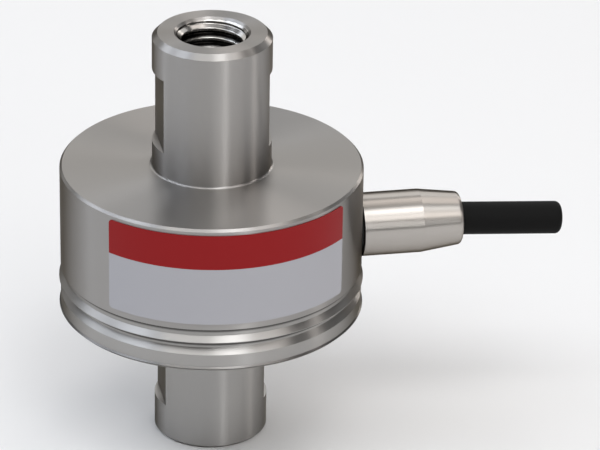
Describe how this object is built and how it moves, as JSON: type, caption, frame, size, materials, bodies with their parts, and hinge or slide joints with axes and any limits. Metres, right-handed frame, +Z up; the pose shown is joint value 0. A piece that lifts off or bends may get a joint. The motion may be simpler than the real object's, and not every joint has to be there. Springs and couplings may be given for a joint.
{
  "type": "weighing load cell",
  "caption": "Canister load cell: a threaded steel column at each end of a sealed drum, with bending beams inside and a side cable gland.",
  "frame": {"origin": "centre of the lower column's end face, on the load axis", "axes": "+Z up along the load axis through both threaded holes, +X out along the cable gland, -Y out close to the middle of the label"},
  "size_m": [0.0863, 0.0514, 0.0733],
  "materials": {
    "steel_housing": "satin turned stainless steel",
    "steel_element": "satin turned stainless steel",
    "diaphragm_steel": "thin rolled stainless steel",
    "seal_rubber": "matte",
    "screw_steel": "satin",
    "gland_metal": "bright fine turned",
    "bush_rubber": "matte",
    "brass_ring": "turned",
    "jacket_black": "slightly shiny",
    "copper_braid": "tinned braid",
    "insulation_red": "smooth",
    "insulation_black": "smooth",
    "insulation_white": "smooth",
    "insulation_green": "smooth",
    "board_laminate": "lacquered glass laminate",
    "spacer_plastic": "matte",
    "resistor_coat": "lacquered",
    "lead_copper": "enamelled",
    "gauge_foil": "polyimide film with metal foil",
    "label_film": "printed film, red band over a silver grey field"
  },
  "bodies": {
    "root": {"upper_housing": "steel_housing", "sensing_element": "steel_element", "bottom_diaphragm": "diaphragm_steel", "housing_seal": "seal_rubber", "cap_screws": "screw_steel", "gland_body": "gland_metal", "gland_seal": "seal_rubber", "cable_bush": "bush_rubber", "clamp_ring": "brass_ring", "cable_jacket": "jacket_black", "cable_shield": "copper_braid", "core_red": "insulation_red", "core_black": "insulation_black", "core_white": "insulation_white", "core_green": "insulation_green", "terminal_board": "board_laminate", "board_spacers": "spacer_plastic", "board_screws": "screw_steel", "compensation_resistors": "resistor_coat", "gauge_leads": "lead_copper", "rating_label": "label_film", "strain_gauge_1": "gauge_foil", "strain_gauge_2": "gauge_foil", "strain_gauge_3": "gauge_foil", "strain_gauge_4": "gauge_foil", "strain_gauge_5": "gauge_foil", "strain_gauge_6": "gauge_foil", "strain_gauge_7": "gauge_foil", "strain_gauge_8": "gauge_foil"}
  },
  "joints": []
}
